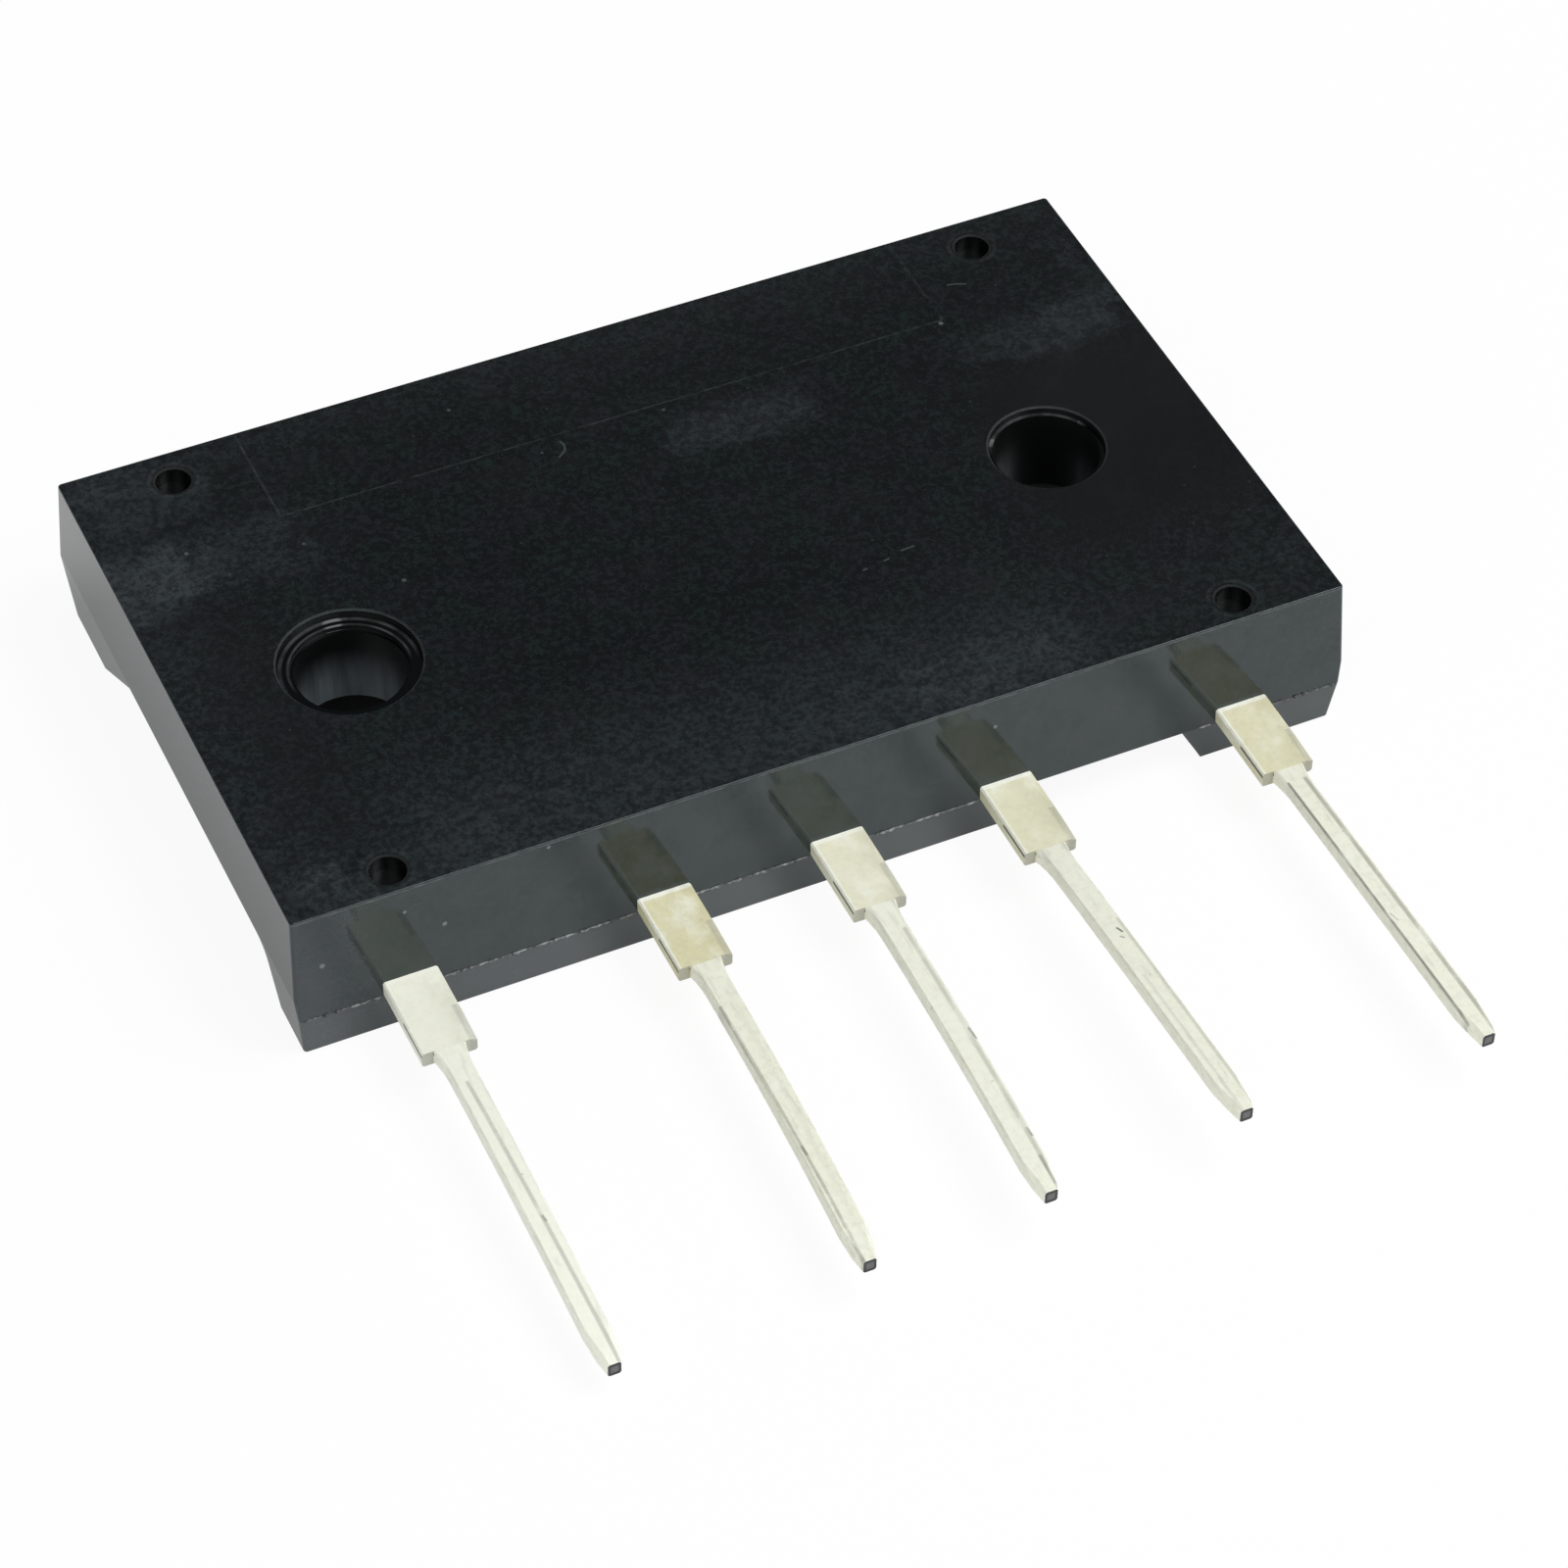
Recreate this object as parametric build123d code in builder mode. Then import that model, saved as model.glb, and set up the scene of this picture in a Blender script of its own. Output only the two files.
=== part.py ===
from build123d import *
import os

# Three-phase bridge rectifier in a flat moulded single-in-line package.
#
# Millimetres. The origin is the middle of the underside, X runs along the row of leads, the leads point to -Y
# and the heat-sink face is up. The body is one epoxy moulding round a lead frame: the leads come out of the near
# face on the parting plane, and inside they jog up to pads close to the heat-sink face. Six diode chips hang
# under the pads, and copper clips join the chips to the neighbouring pads.

# Moulded body: half width and the two depths, at the underside, at the crease and at the heat-sink face.
# The crease is the parting line. It lies under the leads on the near face, and higher on the other faces.
body_height = 6.8
parting_z = 2.0
crease_z = 3.0
base_half_x, crease_half_x, top_half_x = 21.15, 21.42, 21.25
base_near_y, crease_near_y, top_near_y = -12.67, -12.93, -12.55
base_far_y, crease_far_y, top_far_y = 12.35, 12.84, 12.55
corner_radius = 0.15
edge_radius = 0.08

# Screw holes, the ledges in their mouths, and the seats for the screws' heads that run out through the ends
screw_spacing = 29.0
screw_y = -1.0
screw_radius = 2.1
flange_thickness = 3.9
left_mouth_ledges = [(2.75, 0.36), (2.27, 0.56)]
right_mouth_ledges = [(2.3, 0.3)]
seat_inner_x = 8.2
seat_corner_radius = 7.0
seat_draft = 12
seat_near_foot_y, seat_near_top_y = -10.3, -9.65
seat_far_foot_y, seat_far_top_y = 9.06, 4.77
seat_near_blend, seat_far_blend, seat_foot_blend = 0.9, 2.3, 2.0

# Marks of the mould: ejector dimples, the insert's outline and the notch beside the last lead
dimple_x = 17.1
dimple_y = (-11.43, 10.96)
dimple_radius = 0.7
dimple_depth = 0.7
mouth_break = 0.07
insert_half_x = 14.05
insert_near_y = 7.4
insert_depth = 0.03
notch_left_x, notch_right_x, notch_foot_x = 8.3, 14.5, 15.6
notch_back_y = -11.0
notch_foot_radius = 0.5

# Lead frame: one sheet, stamped and bent
sheet = 0.65
lead_x = {"lead_minus": -17.0, "lead_ac_1": -7.0, "lead_ac_2": 0.0, "lead_ac_3": 7.0, "lead_plus": 17.0}
shoulder_width = 2.14
shoulder_end_y = -16.65
pin_width = 0.95
root_flare = 0.15
root_length = 1.2
pin_end_y = -31.35
point_length = 1.6
point_width, point_thickness = 0.5, 0.6
stamped_edge = 0.07
point_edge = 0.2
trimmed_length = 1.75
rolled_width, rolled_depth = 0.28, 0.14
pin_bend = {  # sideways and upward offset of each tip, and how late along the pin the bend comes
    "lead_minus": (0.05, -1.0, 2.0),
    "lead_ac_1": (-0.35, -0.3, 2.0),
    "lead_ac_2": (-0.36, -0.05, 2.0),
    "lead_ac_3": (0.3, 0.65, 0.8),
    "lead_plus": (0.2, 0.0, 0.8),
}
pad_z = 5.0
jog_start_y, jog_end_y = -11.9, -10.4
jog_radius = 0.5
pad_near_y = -9.9

# Chips in two rows: high side between the AC clips and the plus pad, low side between the AC pads and the clip
chip_x = (-7.0, 0.0, 7.0)
chip_size = 3.2
chip_thickness = 0.3
solder = 0.1
solder_size = 3.0
foot_solder_size = 2.2
high_chip_y = 5.0
low_chip_y = -5.6

# Clips
clip_sheet = 0.4
clip_width = 2.4
ac_pad_width = 5.6
ac_pad_far_y = -0.4
ac_foot_y = -2.4
plus_pad_y = (2.0, 8.8)
plus_pad_half_x = 9.8
plus_arm_x = (18.1, 20.1)
minus_pad_x = -11.4
minus_pad_far_y = -4.4
minus_foot_x = -14.0

chip_z = pad_z - solder - chip_thickness
clip_z = chip_z - solder - clip_sheet
foot_z = pad_z - solder - clip_sheet

os.makedirs("parts", exist_ok=True)


def write(piece, label):
    """Label a finished piece and write it to its own file."""
    piece.label = label
    export_step(piece, f"parts/{label}.step")


def stamped_section(width, thickness, edge=stamped_edge):
    """Section of a stamped strip, with its sharp edges broken."""
    Rectangle(width, thickness)
    chamfer(vertices(), length=edge)


def pin_stations():
    """Distance from the shoulder's end, width, thickness and broken edge of each section of a pin."""
    length = shoulder_end_y - pin_end_y
    root = [root_length * step / 4 for step in range(4)]
    stations = [(s, pin_width + 2 * root_flare * (1 - s / root_length) ** 2, sheet, stamped_edge) for s in root]
    shank = [root_length + (length - point_length - root_length) * step / 6 for step in range(7)]
    stations += [(s, pin_width, sheet, stamped_edge) for s in shank]
    stations.append((length - point_length / 3, pin_width - point_edge / 2, sheet, point_edge))
    stations.append((length, point_width, point_thickness, stamped_edge))
    return stations


# Leads, each in one piece from the tip of its pin to its pad
leads = {}
for name, x in lead_x.items():
    tip_dx, tip_dz, lateness = pin_bend[name]
    with BuildPart() as lead:
        for distance, width, thickness, edge in pin_stations():
            bend = (distance / (shoulder_end_y - pin_end_y)) ** lateness
            centre = (x + tip_dx * bend, shoulder_end_y - distance, parting_z + sheet / 2 + tip_dz * bend)
            with BuildSketch(Plane(origin=centre, x_dir=(1, 0, 0), z_dir=(0, -1, 0))):
                stamped_section(width, thickness, edge)
        loft(ruled=True)

        # Shoulder, from its square end to just inside the resin
        shoulder_plane = Plane(
            origin=(x, shoulder_end_y, parting_z + sheet / 2), x_dir=(-1, 0, 0), z_dir=(0, 1, 0)
        )
        with BuildSketch(shoulder_plane):
            stamped_section(shoulder_width, sheet)
        extrude(amount=jog_start_y - 0.4 - shoulder_end_y)

        # Right-hand edge of the shoulder, rolled over where the tie bar is trimmed off
        for distance, share in ((0, 1.0), (trimmed_length, 0.3)):
            with BuildSketch(shoulder_plane.offset(distance)):
                with BuildLine():
                    Polyline(
                        (-shoulder_width / 2 + share * rolled_width, sheet / 2),
                        (-shoulder_width / 2, sheet / 2 - share * rolled_depth),
                        (-shoulder_width / 2 - 0.1, sheet / 2 - share * rolled_depth),
                        (-shoulder_width / 2 - 0.1, sheet / 2 + 0.1),
                        (-shoulder_width / 2 + share * rolled_width, sheet / 2 + 0.1),
                        close=True,
                    )
                make_face()
        loft(ruled=True, mode=Mode.SUBTRACT)

        # Jog from the parting plane up to the level of the pads
        with BuildSketch(Plane.YZ.offset(x)):
            with BuildLine():
                FilletPolyline(
                    (jog_start_y - 0.5, parting_z + sheet / 2),
                    (jog_start_y, parting_z + sheet / 2),
                    (jog_end_y, pad_z + sheet / 2),
                    (pad_near_y + 0.2, pad_z + sheet / 2),
                    radius=jog_radius,
                )
            trace(line_width=sheet)
        extrude(amount=shoulder_width / 2, both=True)

        # Pad
        with BuildSketch(Plane.XY.offset(pad_z)):
            if name == "lead_plus":
                arm_left, arm_right = plus_arm_x
                pad_low, pad_high = plus_pad_y
                with BuildLine():
                    Polyline(
                        (x - shoulder_width / 2, pad_near_y),
                        (arm_right, pad_near_y),
                        (arm_right, pad_high),
                        (-plus_pad_half_x, pad_high),
                        (-plus_pad_half_x, pad_low),
                        (plus_pad_half_x, pad_low),
                        (plus_pad_half_x + 1.0, pad_low + 3.4),
                        (arm_left, pad_low + 3.4),
                        (arm_left, pad_near_y + 2.0),
                        (x - shoulder_width / 2, pad_near_y + 2.0),
                        close=True,
                    )
                make_face()
            elif name == "lead_minus":
                with BuildLine():
                    Polyline(
                        (x - shoulder_width / 2, pad_near_y),
                        (minus_pad_x, pad_near_y),
                        (minus_pad_x, minus_pad_far_y),
                        (minus_foot_x - 0.4, minus_pad_far_y),
                        (x - shoulder_width / 2, pad_near_y + 2.0),
                        close=True,
                    )
                make_face()
            else:
                with Locations((x, (pad_near_y + ac_pad_far_y) / 2)):
                    Rectangle(ac_pad_width, ac_pad_far_y - pad_near_y)
        extrude(amount=sheet)
    leads[name] = lead.part
    write(lead.part, name)

# Diode chips, three on the high side and three on the low side
chips = []
for row, row_y in (("high", high_chip_y), ("low", low_chip_y)):
    for number, x in enumerate(chip_x, start=1):
        with BuildPart() as chip:
            with BuildSketch(Plane.XY.offset(chip_z)):
                with Locations((x, row_y)):
                    Rectangle(chip_size, chip_size)
            extrude(amount=chip_thickness)
        chips.append(chip.part)
        write(chip.part, f"diode_chip_{row}_{number}")

# AC clips, from under a high-side chip to the foot under its AC pad
clips = []
for number, x in enumerate(chip_x, start=1):
    with BuildPart() as ac_clip:
        with BuildSketch(Plane.YZ.offset(x)):
            with BuildLine():
                FilletPolyline(
                    (high_chip_y + clip_width / 2, clip_z + clip_sheet / 2),
                    (1.0, clip_z + clip_sheet / 2),
                    (0.2, foot_z + clip_sheet / 2),
                    (ac_foot_y, foot_z + clip_sheet / 2),
                    radius=0.4,
                )
            trace(line_width=clip_sheet)
        extrude(amount=clip_width / 2, both=True)
    clips.append(ac_clip.part)
    write(ac_clip.part, f"ac_clip_{number}")

# Minus clip, one bar under the three low-side chips to the foot under the minus pad
with BuildPart() as minus_clip:
    with BuildSketch(Plane.XZ.offset(-low_chip_y)):
        with BuildLine():
            FilletPolyline(
                (chip_x[-1] + clip_width / 2, clip_z + clip_sheet / 2),
                (minus_pad_x + 1.2, clip_z + clip_sheet / 2),
                (minus_pad_x + 0.4, foot_z + clip_sheet / 2),
                (minus_foot_x, foot_z + clip_sheet / 2),
                radius=0.4,
            )
        trace(line_width=clip_sheet)
    extrude(amount=clip_width / 2, both=True)
clips.append(minus_clip.part)
write(minus_clip.part, "minus_clip")

# Solder layers, between chips and pads, between chips and clips, and under the feet of the clips
chip_places = [(x, y) for y in (high_chip_y, low_chip_y) for x in chip_x]
ac_foot_places = [(x, (ac_foot_y + ac_pad_far_y) / 2) for x in chip_x]
minus_foot_place = ((minus_foot_x + minus_pad_x) / 2, low_chip_y)
solder_layers = {
    "chip_pad_solder": (pad_z - solder, chip_places, solder_size, solder_size),
    "chip_clip_solder": (chip_z - solder, chip_places, foot_solder_size, foot_solder_size),
    "ac_foot_solder": (pad_z - solder, ac_foot_places, foot_solder_size, 1.6),
    "minus_foot_solder": (pad_z - solder, [minus_foot_place], foot_solder_size, foot_solder_size),
}
solders = []
for name, (level, places, size_x, size_y) in solder_layers.items():
    with BuildPart() as layer:
        with BuildSketch(Plane.XY.offset(level)):
            with Locations(*places):
                Rectangle(size_x, size_y)
        extrude(amount=solder)
    solders.append(layer.part)
    write(layer.part, name)

# Space of the right-hand seat: steep on the side of the leads, a long slope on the far side, round at its inner end
seat_floor_z = body_height - flange_thickness
with BuildPart() as seat:
    with BuildSketch(Plane.YZ):
        with BuildLine():
            Polyline(
                (2 * base_near_y, -1),
                (2 * base_near_y, 0),
                (seat_near_foot_y, 0),
                (seat_near_top_y, seat_floor_z),
                (seat_far_top_y, seat_floor_z),
                (seat_far_foot_y, 0),
                (2 * base_far_y, 0),
                (2 * base_far_y, -1),
                close=True,
            )
        make_face()
        ceiling = vertices().group_by(Axis.Y)[-1].sort_by(Axis.X)
        feet = vertices().group_by(Axis.Y)[1].sort_by(Axis.X)
        fillet(ceiling[0], radius=seat_near_blend)
        fillet(ceiling[1], radius=seat_far_blend)
        fillet(feet[2], radius=seat_foot_blend)
    extrude(amount=2 * top_half_x)
    with BuildSketch(Plane.XY.offset(-1)):
        with Locations((seat_inner_x + top_half_x, screw_y)):
            Rectangle(2 * top_half_x, 2 * crease_far_y)
        fillet(vertices().group_by(Axis.X)[0], radius=seat_corner_radius)
    extrude(amount=body_height, taper=seat_draft, mode=Mode.INTERSECT)

# Moulded body, cast round everything above
with BuildPart() as moulded_body:
    with BuildSketch(Plane.XZ):
        with BuildLine():
            Polyline(
                (-base_half_x, 0),
                (-crease_half_x, crease_z),
                (-top_half_x, body_height),
                (top_half_x, body_height),
                (crease_half_x, crease_z),
                (base_half_x, 0),
                close=True,
            )
        make_face()
    extrude(amount=2 * top_far_y, both=True)
    with BuildSketch(Plane.YZ):
        with BuildLine():
            Polyline(
                (base_near_y, 0),
                (crease_near_y, parting_z),
                (top_near_y, body_height),
                (top_far_y, body_height),
                (crease_far_y, crease_z),
                (base_far_y, 0),
                close=True,
            )
        make_face()
    extrude(amount=2 * top_half_x, both=True, mode=Mode.INTERSECT)
    corners = moulded_body.edges().filter_by(lambda edge: edge.bounding_box().size.Z > (crease_z - parting_z) / 2)
    fillet(corners, radius=corner_radius)
    outer_faces = moulded_body.faces().sort_by(Axis.Z)
    fillet(outer_faces[0].edges() + outer_faces[-1].edges(), radius=edge_radius)

    add(seat.part, mode=Mode.SUBTRACT)
    mirror(seat.part, about=Plane.YZ, mode=Mode.SUBTRACT)

    # Screw holes with the ledges in their mouths
    for side, ledges in ((-1, left_mouth_ledges), (1, right_mouth_ledges)):
        with Locations((side * screw_spacing / 2, screw_y, body_height)):
            Hole(radius=screw_radius)
            for ledge_radius, ledge_depth in ledges:
                Hole(radius=ledge_radius, depth=ledge_depth)

    # Ejector dimples and the faint step that the mould's insert leaves
    with Locations(*[(side * dimple_x, y, body_height) for side in (-1, 1) for y in dimple_y]):
        Hole(radius=dimple_radius, depth=dimple_depth)
    mouths = moulded_body.edges().filter_by(GeomType.CIRCLE).group_by(Axis.Z)[-1]
    chamfer(mouths.filter_by(lambda mouth: mouth.radius > corner_radius), length=mouth_break)
    with BuildSketch(Plane.XY.offset(body_height)):
        with Locations((0, (insert_near_y + top_far_y + 1) / 2)):
            Rectangle(2 * insert_half_x, top_far_y + 1 - insert_near_y)
    extrude(amount=-insert_depth, mode=Mode.SUBTRACT)

    # Notch in the lower half, between the last AC lead and the plus lead
    with BuildSketch(Plane.XZ.offset(-notch_back_y)):
        with BuildLine():
            Polyline(
                (notch_left_x, -1),
                (notch_left_x, parting_z),
                (notch_right_x, parting_z),
                (notch_foot_x, 0),
                (notch_foot_x, -1),
                close=True,
            )
        make_face()
        fillet(vertices().group_by(Axis.X)[-1].sort_by(Axis.Y)[-1], radius=notch_foot_radius)
    extrude(amount=3, mode=Mode.SUBTRACT)

    for piece in (*leads.values(), *chips, *clips, *solders):
        add(piece, mode=Mode.SUBTRACT)
write(moulded_body.part, "moulded_body")
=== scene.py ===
from math import pi, radians

import bmesh
import bpy
from mathutils import Matrix, Vector, noise


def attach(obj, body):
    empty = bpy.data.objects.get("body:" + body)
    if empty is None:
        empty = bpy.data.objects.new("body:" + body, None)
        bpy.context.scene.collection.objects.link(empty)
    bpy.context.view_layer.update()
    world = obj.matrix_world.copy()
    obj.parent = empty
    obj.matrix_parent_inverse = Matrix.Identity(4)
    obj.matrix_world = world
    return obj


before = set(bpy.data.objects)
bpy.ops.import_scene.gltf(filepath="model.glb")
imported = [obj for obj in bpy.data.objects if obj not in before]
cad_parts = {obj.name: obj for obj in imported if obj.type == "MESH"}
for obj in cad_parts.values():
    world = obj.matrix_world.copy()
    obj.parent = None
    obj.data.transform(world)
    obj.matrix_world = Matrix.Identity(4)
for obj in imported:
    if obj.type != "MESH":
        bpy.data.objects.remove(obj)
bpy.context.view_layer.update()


# Leads: copper strip, stamped and tin-plated, with a wide shoulder next to the body and a slim pin
# beyond it. The tie bar that joined the shoulders is trimmed off, which leaves dull sheared edges,
# and handling has left faint yellow smudges and fine scores. The grey along the rolled-over right
# edge of the trimmed part and the dark front end faces of the shoulders are painted shade. The
# imported nodes keep their shape.
MM = 0.001


class Wire:
    """A value on its way through a finish: each operator adds the Math node for it."""

    def __init__(self, nodes, socket):
        self.nodes = nodes
        self.socket = socket

    def math(self, operation, *values):
        return self.nodes.node("Math", {"operation": operation}, dict(enumerate(values)))

    def __add__(self, other):
        return self.math("ADD", self, other)

    def __sub__(self, other):
        return self.math("SUBTRACT", self, other)

    def __rsub__(self, other):
        return self.math("SUBTRACT", other, self)

    def __mul__(self, other):
        return self.math("MULTIPLY", self, other)

    def __truediv__(self, other):
        return self.math("DIVIDE", self, other)

    def __pow__(self, other):
        return self.math("POWER", self, other)

    def __abs__(self):
        return self.math("ABSOLUTE", self)

    __radd__ = __add__
    __rmul__ = __mul__

    def most(self, other):
        return self.math("MAXIMUM", self, other)

    def ramp(self, low, high):
        """0 below low and 1 above high, with a soft change; low above high makes it fall."""
        if low > high:
            return 1 - self.ramp(high, low)
        sockets = {"Value": self, "From Min": low, "From Max": high}
        return self.nodes.node("MapRange", {"interpolation_type": "SMOOTHSTEP"}, sockets)

    def band(self, centre, half_width, soft):
        """1 within half_width of centre, falling to 0 over soft."""
        return abs(self - centre).ramp(half_width + soft, half_width)


class Nodes:
    """The node tree of a material or of the room."""

    def __init__(self, tree):
        self.tree = tree

    def node(self, kind, settings, sockets, result=0):
        """Add a node: its settings, then the values or wires of its sockets. Gives its result."""
        node = self.tree.nodes.new("ShaderNode" + kind)
        for name, value in settings.items():
            setattr(node, name, value)
        for key, value in sockets.items():
            self.feed(self.find(node.inputs, key), value)
        return Wire(self, self.find(node.outputs, result))

    def find(self, sockets, key):
        if isinstance(key, int):
            return sockets[key]
        return next(s for s in sockets if s.enabled and key in (s.name, s.identifier))

    def feed(self, socket, value):
        if isinstance(value, Wire):
            self.tree.links.new(value.socket, socket)
        elif socket.type == "RGBA" and len(value) == 3:
            socket.default_value = (*value, 1)
        else:
            socket.default_value = value

    def mix(self, factor, colour, other):
        sockets = {"Factor_Float": factor, "A_Color": colour, "B_Color": other}
        return self.node("Mix", {"data_type": "RGBA"}, sockets, "Result_Color")

    def layer(self, tone, *coats):
        """Lay coats over a tone: each is a mask and the colour that shows through it."""
        for mask, colour in coats:
            tone = self.mix(mask, tone, colour)
        return tone


class Finish(Nodes):
    """The material of one surface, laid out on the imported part's own millimetres."""

    def __init__(self, name, **constants):
        self.material = bpy.data.materials.new(name)
        self.material.use_nodes = True
        super().__init__(self.material.node_tree)
        self.shader = self.tree.nodes["Principled BSDF"]
        self.set(**constants)
        place = self.node("TexCoord", {}, {}, "Object")
        in_mm = {0: place, "Scale": 1 / MM}
        self.place = self.node("VectorMath", {"operation": "SCALE"}, in_mm, "Vector")
        self.x, self.y, self.z = self.parts(self.place)
        facing = self.node("TexCoord", {}, {}, "Normal")
        self.faces_right, self.faces_back, self.faces_up = self.parts(facing)

    def parts(self, vector):
        return [self.node("SeparateXYZ", {}, {"Vector": vector}, axis) for axis in "XYZ"]

    def set(self, **values):
        for name, value in values.items():
            self.feed(self.shader.inputs[name.replace("_", " ")], value)

    def noise(self, scale, detail=2, roughness=0.5, stretch=(1, 1, 1)):
        """Even noise around 0.5, with scale in cycles per millimetre."""
        place = self.node("Mapping", {}, {"Vector": self.place, "Scale": stretch}, "Vector")
        sockets = {"Vector": place, "Scale": scale, "Detail": detail, "Roughness": roughness}
        return self.node("TexNoise", {}, sockets, 0)

    def specks(self, per_mm, size, chance):
        """Round specks: a cell of the given density may hold one, and chance says how many do."""
        cells = {"Vector": self.place, "Scale": per_mm}
        distance = self.node("TexVoronoi", {}, cells, "Distance")
        pick = self.node("TexVoronoi", {}, cells, "Color")
        pick = self.node("SeparateColor", {}, {"Color": pick}, "Red")
        return distance.ramp(size, size * 0.4) * pick.ramp(1 - chance, 1 - chance + 0.02)

    def bump(self, height, depth_mm, strength):
        """Relief of the given depth for a height that runs from 0 to 1."""
        sockets = {"Height": height, "Distance": depth_mm * MM, "Strength": strength}
        self.set(Normal=self.node("Bump", {}, sockets, "Normal"))

    def put_on(self, piece):
        piece.data.materials.clear()
        piece.data.materials.append(self.material)


def score(along, across, start, end, half_width):
    """A fine straight score between two points, each given as its place along and across."""
    run = Vector(end) - Vector(start)
    length = run.length
    run /= length
    along = along - (start[0] + end[0]) / 2
    across = across - (start[1] + end[1]) / 2
    from_middle = abs(along * run.x + across * run.y)
    within = from_middle.ramp(length / 2 + half_width, length / 2 - half_width)
    return within * abs(across * run.x - along * run.y).ramp(half_width * 1.5, half_width * 0.6)


shoulder_start_y, shoulder_end_y, pin_end_y = -13.04, -16.65, -31.35
pin_length = shoulder_end_y - pin_end_y
shoulder_half_width, trimmed_length = 1.07, 1.75
sheet_top, sheet_half_thickness = 2.65, 0.325

clean_tin = (0.97, 0.98, 0.86)
worn_tin = (0.77, 0.73, 0.47)
drawn_tin = (0.5, 0.5, 0.44)
sandy_tin = (0.45, 0.44, 0.34)
rollover_shade_tin = (0.36, 0.36, 0.33)
dull_tin, end_face_shade_tin = (0.30, 0.30, 0.26), (0.30, 0.30, 0.27)
smeared_tin = (0.30, 0.29, 0.19)
scored_tin = (0.06, 0.06, 0.055)
torn_edge = (0.05, 0.05, 0.045)
cut_copper, cut_copper_rim = (0.13, 0.13, 0.13), (0.025, 0.025, 0.025)

# Where the middle of each shoulder is, how far its pin's tip is bent sideways and upward, how late
# along the pin the bend comes, and how yellow its tin has gone
leads = {
    "lead_minus": (-17.0, 0.05, -1.0, 2.0, 0.15),
    "lead_ac_1": (-7.0, -0.35, -0.3, 2.0, 1.0),
    "lead_ac_2": (0.0, -0.36, -0.05, 2.0, 0.5),
    "lead_ac_3": (7.0, 0.3, 0.65, 0.8, 0.7),
    "lead_plus": (17.0, 0.2, 0.0, 0.8, 0.85),
}

# Scores and nicks: the start and the end of each, as parts of the pin's length and distances from
# its axis, then its half width and how dark it is
pin_scores = {
    "lead_minus": [
        ((0.12, -0.05), (1.0, 0.2), 0.07, 0.35),
        ((0.56, 0.08), (0.58, 0.14), 0.05, 0.5),
    ],
    "lead_ac_1": [
        ((0.15, -0.42), (1.0, -0.22), 0.06, 0.4),
        ((0.1, 0.15), (1.0, 0.15), 0.1, 0.06),
        ((0.63, -0.31), (0.66, -0.27), 0.05, 0.5),
    ],
    "lead_ac_2": [
        ((0.46, 0.36), (0.50, 0.44), 0.05, 0.8),
        ((0.1, 0.27), (1.0, 0.29), 0.08, 0.3),
        ((0.80, 0.34), (0.83, 0.40), 0.05, 0.5),
        ((0.89, 0.25), (0.98, 0.28), 0.06, 0.4),
    ],
    "lead_ac_3": [
        ((0.33, 0.1), (0.35, 0.2), 0.04, 0.8),
        ((0.36, 0.0), (0.37, 0.12), 0.03, 0.6),
        ((0.5, -0.15), (1.0, -0.15), 0.06, 0.15),
        ((0.3, 0.36), (1.0, 0.34), 0.06, 0.25),
    ],
    "lead_plus": [
        ((0.05, -0.42), (0.95, -0.40), 0.04, 0.6),
        ((0.55, -0.3), (0.58, -0.2), 0.05, 0.5),
        ((0.05, 0.28), (1.0, 0.31), 0.08, 0.45),
    ],
}

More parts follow.
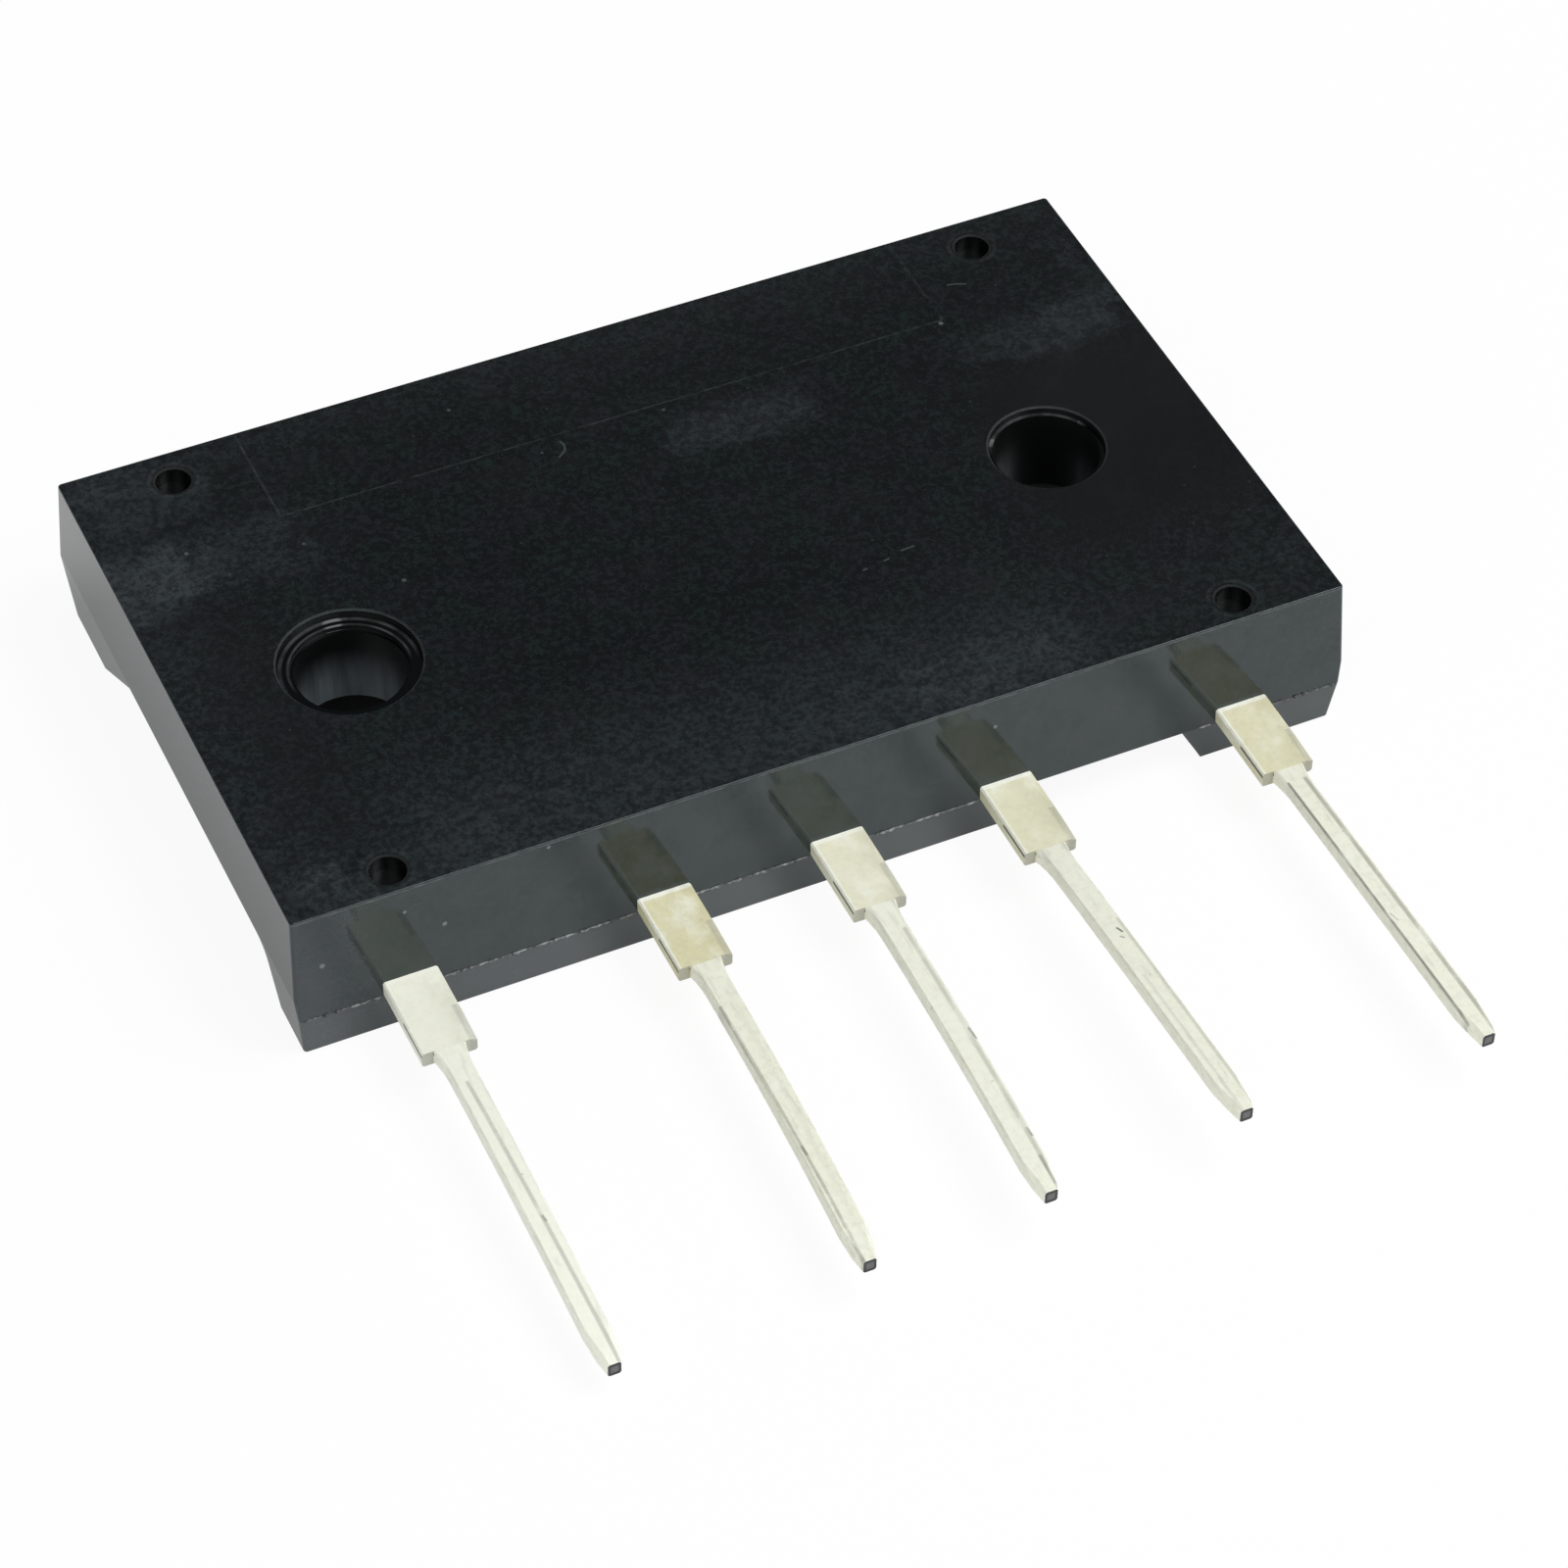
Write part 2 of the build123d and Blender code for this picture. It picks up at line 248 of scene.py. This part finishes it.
for name, (middle_x, tip_dx, tip_dz, lateness, yellowing) in leads.items():
    tin = Finish("tin_on_" + name, Metallic=0.06)

    # Where a point lies: along the pin, across the bent lead, on which part and on which face
    down_pin = ((shoulder_end_y - tin.y) / pin_length).most(0.0)
    across = tin.x - middle_x - down_pin**lateness * tip_dx
    on_shoulder = tin.y.ramp(shoulder_end_y - 0.06, shoulder_end_y - 0.02)
    trimmed_from = shoulder_end_y + trimmed_length
    trimmed = on_shoulder * tin.y.ramp(trimmed_from + 0.05, trimmed_from)
    on_top = tin.faces_up.ramp(0.6, 0.8)
    on_left = tin.faces_right.ramp(-0.6, -0.8)
    on_end = tin.faces_back.ramp(-0.7, -0.9)

    smudge = tin.noise(0.9, 4, 0.6, (1, 0.6, 1))
    drawn = tin.noise(5.0, 2, 0.5, (1, 0.12, 1))
    sandy = tin.noise(3.5, 3, 0.7)
    pits = tin.specks(2.2, 0.16, 0.10)

    # Wear of the tin: the shoulder's left rim is kept clean white as a painted highlight, and the
    # strip next to the body stays clean
    rim_highlight_and_clean_strip = on_top * across.ramp(-0.90, -0.98)
    rim_highlight_and_clean_strip += tin.y.ramp(shoulder_start_y - 0.08, shoulder_start_y) * on_top
    yellow = (smudge.ramp(0.15, 0.55) * (on_shoulder * 0.75 + 0.25) - rim_highlight_and_clean_strip).most(0.0)
    smear = on_shoulder * on_top * across.ramp(-0.2, 0.9) * smudge.ramp(0.38, 0.62)
    pin_edge = (1 - on_shoulder) * abs(across).ramp(0.38, 0.42) * on_top
    torn = trimmed * on_left * tin.z.band(sheet_top - 0.15, 0.05, 0.04)
    tone = tin.layer(
        clean_tin,
        (yellow * yellowing, worn_tin),
        (pits * 0.3, dull_tin),
        (sandy.ramp(0.45, 0.65) * (0.05 + yellowing * 0.10), sandy_tin),
        (drawn.ramp(0.55, 0.75) * (1 - on_shoulder) * 0.25, drawn_tin),
        # Painted shade: grey along the rolled-over right edge of the trimmed part
        (trimmed * across.ramp(0.72, 0.85) * 0.4, rollover_shade_tin),
        (torn * 0.95, torn_edge),
        (smear * 0.18, smeared_tin),
        (pin_edge * drawn.ramp(0.35, 0.6) * 0.25, dull_tin),
        # Painted shade: the shoulder's front end faces are painted dark grey
        (on_end * on_shoulder * 0.7, end_face_shade_tin),
    )
    for (start, start_across), (end, end_across), half_width, depth in pin_scores[name]:
        ends = (start * pin_length, start_across), (end * pin_length, end_across)
        mark = score(down_pin * pin_length, across, *ends, half_width)
        tone = tin.mix(mark * (smudge.ramp(0.3, 0.5) * 0.6 + 0.4) * depth, tone, scored_tin)

    # The pin's tip is cut across and shows the strip's dark core
    cut_face = on_end * tin.y.ramp(pin_end_y + 0.05, pin_end_y + 0.01)
    middle_z = sheet_top - sheet_half_thickness + tip_dz
    core = abs(across).ramp(0.2, 0.1) * tin.z.band(middle_z, 0.12, 0.08)
    tone = tin.mix(cut_face, tone, tin.mix(core, cut_copper_rim, cut_copper))
    tin.set(Base_Color=tone, Roughness=0.42 + drawn * 0.15 + smudge * 0.08)
    tin.bump(smudge * 0.4 + drawn * 0.3 + sandy * 0.3, 0.03, 0.6)
    tin.put_on(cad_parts[name])


# Moulded body: black epoxy, transfer-moulded round the lead frame. The mould's walls leave the
# sides glossy, and the heat-sink face is finely satin, with a painted sheen in patches worn by
# rubbing, hairline scratches and dust. Its shape is the imported node's own.
body_top, parting_z, crease_z = 6.8, 2.0, 3.0
hole_x, hole_y, hole_mouth_radius = 14.5, -1.0, 2.9
left_ledge_radii, right_ledge_radius = (2.62, 2.31), 2.2
dimple_x, dimple_ys = 17.1, (-11.43, 10.96)
insert_half_x, insert_near_y, insert_far_y = 14.05, 7.4, 12.4

pore_black = (0.0, 0.0, 0.0002)
green_black, blue_black = (0.0055, 0.0112, 0.0105), (0.0078, 0.0092, 0.0118)
warm_black, brown_black = (0.0025, 0.0014, 0.0022), (0.0065, 0.0055, 0.0065)
sheen_and_rub_grey = (0.025, 0.031, 0.036)
mark_and_highlight_grey = (0.13, 0.15, 0.155)
gloss_black, gloss_grey = (0.0040, 0.0110, 0.0110), (0.0110, 0.0150, 0.0175)
corner_grey = (0.030, 0.033, 0.040)
lower_half_light_grey = (0.030, 0.035, 0.041)
filler_grey = (0.036, 0.042, 0.044)
fleck_and_highlight_grey = (0.25, 0.26, 0.27)
bore_light_grey = (0.15, 0.175, 0.19)
ledge_highlight_grey = (0.23, 0.24, 0.25)
dimple_shade_black = (0.0006, 0.0004, 0.0004)

resin = Finish("black_resin", IOR=1.6, Specular_Tint=(0.90, 1.0, 1.0))
on_top = resin.z.ramp(body_top - 0.12, body_top - 0.08) * resin.faces_up.ramp(0.5, 0.9)
on_near = resin.faces_back.ramp(-0.7, -0.9)
on_end = abs(resin.faces_right).ramp(0.7, 0.9)
cloud = resin.noise(0.10, 4, 0.6)
mottle = resin.noise(0.8, 3, 0.6)
grain = resin.noise(4.5, 3, 0.7)
brushed = resin.noise(2.6, 4, 0.75, (0.55, 1, 1))
wander = resin.noise(0.45, 3, 0.6)


def spot(radius, **centre):
    """A round mark, with its centre given on two of the axes."""
    first, second = (getattr(resin, axis) - value for axis, value in centre.items())
    return (first * first + second * second).ramp(radius**2 * 1.6, radius**2 * 0.5)


def patch(centre, half_size, soft):
    """A patch on the heat-sink face, with a soft and ragged edge."""
    along = resin.x + (wander - 0.5) * 6.0
    across = resin.y + (mottle - 0.5) * 2.5
    return along.band(centre[0], half_size[0], soft) * across.band(centre[1], half_size[1], soft)


# Painted sheen: the satin is painted lighter along its edges and in patches, mostly in a row in
# front of the insert, standing in for the light it catches; some of it is wear from rubbing. Each
# patch has its centre, its half size, the softness of its edge, and its strength.
sheen_and_rub = resin.y.ramp(-4.0, -12.2) * (resin.x.band(-2.5, 11.0, 5.0) * 0.6 + 0.2)
sheen_and_rub += resin.y.ramp(9.5, 12.4) * 0.25
sheen_and_rub += resin.x.ramp(-17.5, -20.8) * 0.3 + resin.x.ramp(-9.0, -16.0) * 0.15
for centre, half_size, soft, strength in (
    ((17.4, 5.2), (3.0, 0.5), 1.1, resin.x.ramp(13.0, 20.0) * 0.6 + 0.3),
    ((4.5, 5.2), (2.6, 0.3), 1.5, 0.7),
    ((-16.5, 6.0), (2.2, 0.8), 1.5, 0.5),
    ((-19.8, 5.9), (0.8, 0.9), 1.5, 1.3),
    ((-18.6, 10.4), (1.3, 1.0), 1.2, 0.5),
    ((-19.2, -11.4), (0.6, 0.8), 1.0, 0.8),
    ((7.0, -10.8), (3.0, 0.6), 1.2, 0.35),
    ((20.4, -10.3), (0.5, 0.4), 0.8, 0.25),
    ((20.6, 8.2), (0.3, 1.5), 0.8, 0.35),
):
    sheen_and_rub += patch(centre, half_size, soft) * strength
sheen_and_rub = sheen_and_rub * (brushed.ramp(0.25, 0.75) * 0.8 + 0.4) * 0.8
warm = patch((-18.4, -3.0), (0.6, 6.0), 1.8) * 0.5 + patch((17.5, -1.5), (3.5, 4.0), 2.5)

# Hairline scratches, dust, the outline of the mould's insert, and rings round the dimples that are
# painted highlights on their rims
marks = resin.specks(1.3, 0.10, 0.2) * 0.25
for start, end in (
    ((-2.66, 6.99), (-2.58, 6.70)), ((-2.58, 6.70), (-2.68, 6.40)), ((-2.68, 6.40), (-3.05, 6.12)),
    ((5.0, -4.37), (5.2, -4.33)), ((5.95, -4.23), (6.2, -4.17)), ((6.78, -3.98), (7.37, -3.94)),
    ((15.13, 9.22), (15.5, 9.14)), ((15.5, 9.14), (15.88, 8.96)),
):
    marks += score(resin.x, resin.y, start, end, 0.035) * 0.6
in_dimple = 0
for x in (-dimple_x, dimple_x):
    for y in dimple_ys:
        from_dimple = (resin.x - x) ** 2 + (resin.y - y) ** 2
        # Painted highlight: a lighter ring round each dimple's rim
        marks += from_dimple.band(0.95**2, 0.06, 0.12) * brushed.ramp(0.3, 0.6) * 0.14
        in_dimple = from_dimple.ramp(0.84**2, 0.76**2) + in_dimple
for x, y, radius, depth in (
    (-11.05, 2.2, 0.09, 0.7), (-18.04, 6.9, 0.08, 0.8), (-13.78, 5.6, 0.07, 0.6),
    (13.9, 7.22, 0.09, 1.2), (1.76, 7.01, 0.07, 0.6), (-5.9, 10.42, 0.08, 0.6),
    (-3.54, 6.64, 0.06, 0.5),
):
    marks += spot(radius, x=x, y=y) * depth
insert_corners = [
    (-insert_half_x, insert_far_y), (-insert_half_x, insert_near_y),
    (insert_half_x, insert_near_y), (insert_half_x, insert_far_y),
]
for start, end in zip(insert_corners, insert_corners[1:]):
    line = score(resin.x, resin.y, start, end, 0.05)
    marks += line * (brushed.ramp(0.35, 0.65) * 0.28 + 0.03)

tint = resin.mix(wander.ramp(0.42, 0.58), green_black, blue_black)
face_tone = resin.layer(
    pore_black,
    (grain.ramp(0.42, 0.66), tint),
    (warm * 0.8, warm_black),
    (mottle.ramp(0.52, 0.7) * 0.35, brown_black),
    (sheen_and_rub * (grain.ramp(0.35, 0.65) * 0.8 + 0.2), sheen_and_rub_grey),
    (marks * 0.6, mark_and_highlight_grey),
)

# Screw holes: the ledges in their mouths and the upper walls are painted black as shade, with
# painted highlights and glint spots on the ledges' far edges. The walls are drawn with fine upright
# lines and are painted lighter low down as light falling on them, mostly in the left hole
left_one = resin.x.ramp(5, -5)
beside = abs(resin.x) - hole_x
beyond = resin.y - hole_y
from_hole = (beside**2 + beyond**2) ** 0.5
in_hole = from_hole.ramp(hole_mouth_radius, hole_mouth_radius - 0.04) * (1 - on_top)
on_wall = in_hole * abs(resin.faces_up).ramp(0.5, 0.2)
upright = resin.noise(2.5, 3, 0.6, (1, 1, 0.08))
# Painted light on the lower walls, with lighter lower corners in the right hole
painted_bore_light = on_wall * resin.z.ramp(5.6, 3.3) * (upright.ramp(0.3, 0.7) * 0.5 + 0.5)
painted_bore_light = painted_bore_light * left_one.most(abs(beside * 0.9 - beyond * 0.43).ramp(0.8, 1.7) * 0.5)
# Painted highlights on the ledges' far edges, with glint spots
edges = from_hole.band(left_ledge_radii[0], 0.04, 0.07)
edges = (edges + from_hole.band(left_ledge_radii[1], 0.03, 0.05)) * left_one
edges = from_hole.band(right_ledge_radius, 0.05, 0.05) * (1 - left_one) + edges
edges = edges * (beyond + left_one * 1.2).ramp(0.6, 1.8)
painted_glint_spots = spot(0.35, x=-14.25, y=1.45) + spot(0.22, x=12.75, y=0.38) + spot(0.25, x=16.6, y=-0.06)
edges = edges * (mottle.ramp(0.35, 0.6) * 0.15 + 0.07 + painted_glint_spots * 0.6)
hole_tone = resin.mix(painted_bore_light, (0.0, 0.0, 0.0), bore_light_grey)
hole_tone = resin.mix(edges * (1 - on_wall), hole_tone, ledge_highlight_grey)

# Glossy sides: the lower half is painted a little lighter for the light it catches, flecks show on
# them, and a painted highlight runs along the top rim
near_corner = on_near * resin.x.ramp(-17.5, -19.5)
# Painted light on the lower half below the parting line
painted_light_lower_half = resin.z.ramp(parting_z + 0.02, parting_z - 0.02) * on_near
painted_light_lower_half = painted_light_lower_half * (1 - resin.x.ramp(17.0, 18.5) * 0.5)
flecks = 0
for x, z, radius in (
    (-15.52, 4.53, 0.09), (-20.24, 4.41, 0.10), (-16.98, 5.7, 0.07),
    (-11.35, 6.57, 0.07), (6.56, 5.41, 0.08),
):
    flecks = spot(radius, x=x, z=z) + flecks
flecks = flecks * on_near * 0.5 + spot(0.08, y=-6.55, z=6.22) * on_end * 0.3
# Painted highlight along the top rim of the sides
painted_rim_highlight = resin.z.band(body_top - 0.07, 0.01, 0.03) * brushed.ramp(0.3, 0.6)
side_tone = resin.layer(
    gloss_black,
    (mottle.ramp(0.35, 0.65), gloss_grey),
    (near_corner * 0.5, corner_grey),
    (painted_light_lower_half * (mottle * 0.5 + 0.6), lower_half_light_grey),
    (grain.ramp(0.4, 0.75) * 0.35, filler_grey),
    (flecks + painted_rim_highlight * 0.3, fleck_and_highlight_grey),
    (in_hole, hole_tone),
)

# Painted shade: the dimples, and a ring just round their mouths, are painted near black
resin.set(Base_Color=resin.layer(side_tone, (on_top, face_tone), (in_dimple, dimple_shade_black)))
lower_end = on_end * resin.z.ramp(crease_z + 0.03, crease_z - 0.03)
mouth_rim = resin.faces_up.band(0.7, 0.1, 0.1) * resin.z.ramp(body_top - 0.09, body_top - 0.08)
side_gloss = 0.05 + mottle * 0.04 + lower_end * 0.16
side_gloss += in_hole * 0.1 + on_wall * 0.3 + in_dimple * 0.25
face_gloss = 0.27 + cloud * 0.1 + sheen_and_rub * 0.1
resin.set(Roughness=on_top * face_gloss + (1 - on_top) * side_gloss + mouth_rim * 0.5)
resin.bump(grain * (on_top * 0.9 + 0.1), 0.012, 0.35)
resin.put_on(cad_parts["moulded_body"])


# Mould flash: a paper-thin ragged fin of resin, squeezed out where the halves of the mould meet.
# It follows the parting line along both long sides, and the lead shoulders and the notch interrupt
# it on the near one.
def flash_fin(start, end, step, outward, reach, half_height, seed):
    """A fin along a straight line, whose reach varies raggedly from nothing to the given reach."""
    start, end = Vector(start), Vector(end)
    count = max(4, round((end - start).length / step))
    upward = Vector((0, 0, half_height))
    mesh = bmesh.new()
    rows = []
    for number in range(count + 1):
        point = start.lerp(end, number / count)
        ragged = noise.noise(Vector((number * 0.37, seed, 0)))
        ragged += 0.6 * noise.noise(Vector((number * 1.3, seed, 5)))
        tapered = min(1.0, min(number, count - number) / 3)
        tip = reach * max(0.0, min(1.0, 0.45 + 1.3 * ragged)) * tapered
        low, high = point - upward - outward * 0.03, point + upward - outward * 0.03
        middle = point + outward * (tip + 0.012)
        rows.append([mesh.verts.new(place * MM) for place in (low, middle, high)])
    for row, following in zip(rows, rows[1:]):
        for lower in (0, 1):
            upper = lower + 1
            mesh.faces.new((row[lower], row[upper], following[upper], following[lower]))
        mesh.faces.new((row[2], row[0], following[0], following[2]))
    mesh.faces.new(rows[0])
    mesh.faces.new(rows[-1][::-1])
    bmesh.ops.recalc_face_normals(mesh, faces=mesh.faces)
    data = bpy.data.meshes.new("flash_fin")
    mesh.to_mesh(data)
    mesh.free()
    return data


near_y, far_y = -12.93, 12.84
near_half_x, far_half_x = 21.2, 21.1
notch = (8.3, 15.2)
gaps = [(x - shoulder_half_width, x + shoulder_half_width) for x, *_ in leads.values()]
stops = [-near_half_x, *(edge for gap in sorted([*gaps, notch]) for edge in gap), near_half_x]
fins = []
for number, (left, right) in enumerate(zip(stops[::2], stops[1::2])):
    if right - left > 0.5:
        start, end = (left + 0.02, near_y, parting_z), (right - 0.02, near_y, parting_z)
        fins.append(flash_fin(start, end, 0.09, Vector((0, -1, 0)), 0.10, 0.045, number))
start, end = (-far_half_x, far_y, crease_z), (far_half_x, far_y, crease_z)
fins.append(flash_fin(start, end, 0.15, Vector((0, 1, 0)), 0.035, 0.03, 30))

thin_resin = Finish("flash_resin", IOR=1.53)
ragged = thin_resin.noise(2.2, 3, 0.6)
# Painted highlights: pale dashes along the fin, with none past the last lead on the right
pale = ragged.ramp(0.45, 0.62) * thin_resin.x.ramp(18.6, 18.0)
thin_resin.set(Base_Color=thin_resin.mix(pale, (0.006, 0.008, 0.009), (0.20, 0.21, 0.21)))
thin_resin.set(Roughness=0.35 + ragged * 0.2)
thin_resin.bump(ragged, 0.01, 0.5)
for number, data in enumerate(fins, start=1):
    fin = bpy.data.objects.new(f"flash_fin_{number}", data)
    bpy.context.scene.collection.objects.link(fin)
    thin_resin.put_on(fin)
    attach(fin, "root")


# Inner pieces, sealed in the resin: polished silicon chips, bare copper clips over them, and the
# dull solder that joins them to each other and to the leads' pads.
silicon = Finish("polished_silicon", Metallic=0.5, Roughness=0.2)
silicon.set(Base_Color=silicon.mix(silicon.noise(2.0), (0.10, 0.11, 0.13), (0.16, 0.17, 0.19)))
copper = Finish("bare_copper", Metallic=1.0, Roughness=0.35)
copper.set(Base_Color=copper.mix(copper.noise(1.0), (0.72, 0.38, 0.24), (0.80, 0.47, 0.32)))
solder = Finish("dull_solder", Metallic=0.9, Roughness=0.45)
solder.set(Base_Color=solder.mix(solder.noise(3.0), (0.50, 0.50, 0.50), (0.62, 0.62, 0.61)))
for name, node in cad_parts.items():
    if name.endswith("solder"):
        solder.put_on(node)
    elif "clip" in name:
        copper.put_on(node)
    elif "chip" in name:
        silicon.put_on(node)


# Floor: a plain white sheet of paper that the part lies on. To the eye it is nearly pure white,
# apart from a trace of shadow round the part, and under the body it is painted dark as shade.
floor_half = 1.5
floor_corners = [(-1, -1, 0), (1, -1, 0), (1, 1, 0), (-1, 1, 0)]
floor_mesh = bpy.data.meshes.new("floor")
floor_mesh.from_pydata([Vector(place) * floor_half for place in floor_corners], [], [(0, 1, 2, 3)])
floor = bpy.data.objects.new("floor", floor_mesh)
bpy.context.scene.collection.objects.link(floor)
floor.location.z = -0.01 * MM
paper = Finish("white_floor", Roughness=0.9, Specular_IOR_Level=0.0)
# Painted shade: the paper under the body is painted dark grey, and it does not glow there
painted_shade_under_body = paper.x.band(0, 18.0, 1.2) * paper.y.band(0.7, 11.7, 0.3)
paper.set(Base_Color=paper.mix(painted_shade_under_body, (0.95, 0.95, 0.95), (0.12, 0.12, 0.12)))
seen, seen_through, mirrored = (
    paper.node("LightPath", {}, {}, f"Is {kind} Ray")
    for kind in ("Camera", "Transmission", "Glossy")
)
share = (seen.most(seen_through) * 0.93).most(mirrored * 0.4) * (1 - painted_shade_under_body)
lit_paper = Wire(paper, paper.shader.outputs[0])
glow = paper.node("Emission", {}, {"Color": (1, 1, 1), "Strength": 1.0})
surface = paper.node("MixShader", {}, {0: share, 1: lit_paper, 2: glow})
paper.feed(paper.tree.nodes["Material Output"].inputs["Surface"], surface)
paper.put_on(floor)


# Light: a soft key panel high on the right and a weak one on the left, both square, in a room with
# pale walls and a dim ceiling. The glossy sides mirror the floor, and the face mirrors the ceiling.
def panel(name, direction, distance, size, strength):
    """A square panel that faces the part; strength is the light that reaches it from there."""
    lamp = bpy.data.lights.new(name, "AREA")
    lamp.size = size
    lamp.energy = strength * pi * pi * distance**2
    holder = bpy.data.objects.new(name, lamp)
    bpy.context.scene.collection.objects.link(holder)
    toward = Vector(direction).normalized()
    holder.location = toward * distance
    holder.rotation_euler = toward.to_track_quat("Z", "Y").to_euler()


panel("key_panel", (0.45, -0.35, 1.0), 0.7, 0.4, 0.83)
panel("fill_panel", (-0.7, -0.6, 0.9), 0.8, 0.5, 0.20)

pale_wall, dim_ceiling = (0.9, 0.9, 0.9), (0.064, 0.074, 0.077)
world = bpy.data.worlds.new("room")
world.use_nodes = True
room = Nodes(world.node_tree)
direction = room.node("TexCoord", {}, {}, "Generated")
height = room.node("SeparateXYZ", {}, {"Vector": direction}, "Z")
walls = room.mix(height.ramp(0.15, 0.5), pale_wall, dim_ceiling)
room.feed(world.node_tree.nodes["Background"].inputs["Color"], walls)
bpy.context.scene.world = world
bpy.context.scene.view_settings.view_transform = "Standard"


# Camera: stands to the left of the leads and looks down on the part at 46 degrees, so that the
# heat-sink face, the side with the leads and the left end all show.
camera_target = Vector((-1.01, -10.39, 3.4)) * MM
camera_distance = 190.08 * MM
azimuth, elevation, roll = radians(-25.29), radians(46.13), radians(0.88)
lens = bpy.data.cameras.new("camera")
lens.sensor_width = 36
lens.lens = 117.16
lens.clip_start = 0.01
camera = bpy.data.objects.new("camera", lens)
bpy.context.scene.collection.objects.link(camera)
around = Matrix.Rotation(azimuth, 4, "Z")
down = Matrix.Rotation(pi / 2 - elevation, 4, "X")
tilt = Matrix.Rotation(roll, 4, "Z")
back = Matrix.Translation((0, 0, camera_distance))
camera.matrix_world = Matrix.Translation(camera_target) @ (around @ down @ tilt) @ back
bpy.context.scene.camera = camera
